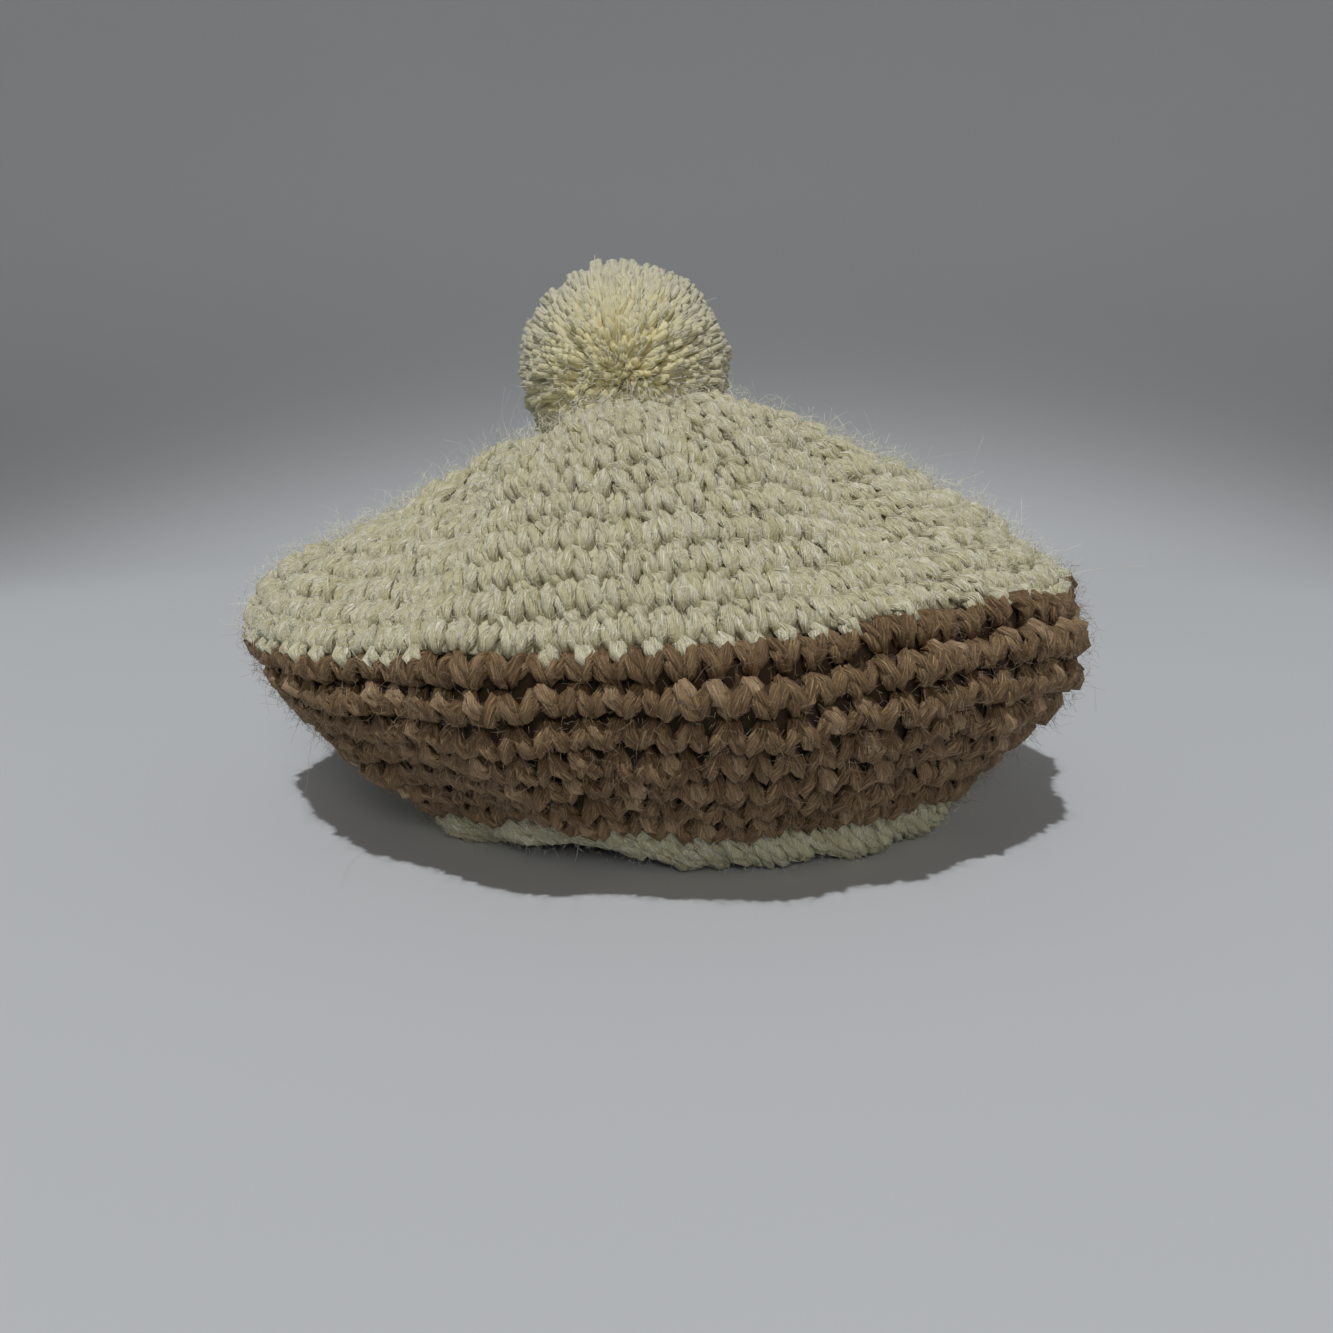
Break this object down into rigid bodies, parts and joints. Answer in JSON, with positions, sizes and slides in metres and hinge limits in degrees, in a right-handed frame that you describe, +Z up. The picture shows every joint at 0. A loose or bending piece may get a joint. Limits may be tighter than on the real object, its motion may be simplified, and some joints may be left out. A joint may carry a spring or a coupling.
{
  "type": "pom-pom beret",
  "caption": "Crocheted baby beret with a slouching cream crown, brown underbrim, cream headband and a yarn pompom, lying by itself.",
  "frame": {"origin": "on the ground under the middle of the beret's bounding box", "axes": "+Z up through the crown, -Y towards the side that the picture shows, +X to the right of that view"},
  "size_m": [0.1862, 0.1638, 0.1229],
  "materials": {
    "cream_yarn": "soft matt acrylic yarn with a light halo of fuzz",
    "brown_yarn": "soft matt hairy yarn, heathered brown",
    "pompom_yarn": "cut and fluffed cream yarn"
  },
  "bodies": {
    "root": {"crown": "cream_yarn", "underbrim": "brown_yarn", "headband": "cream_yarn", "pompom": "pompom_yarn"}
  },
  "joints": []
}
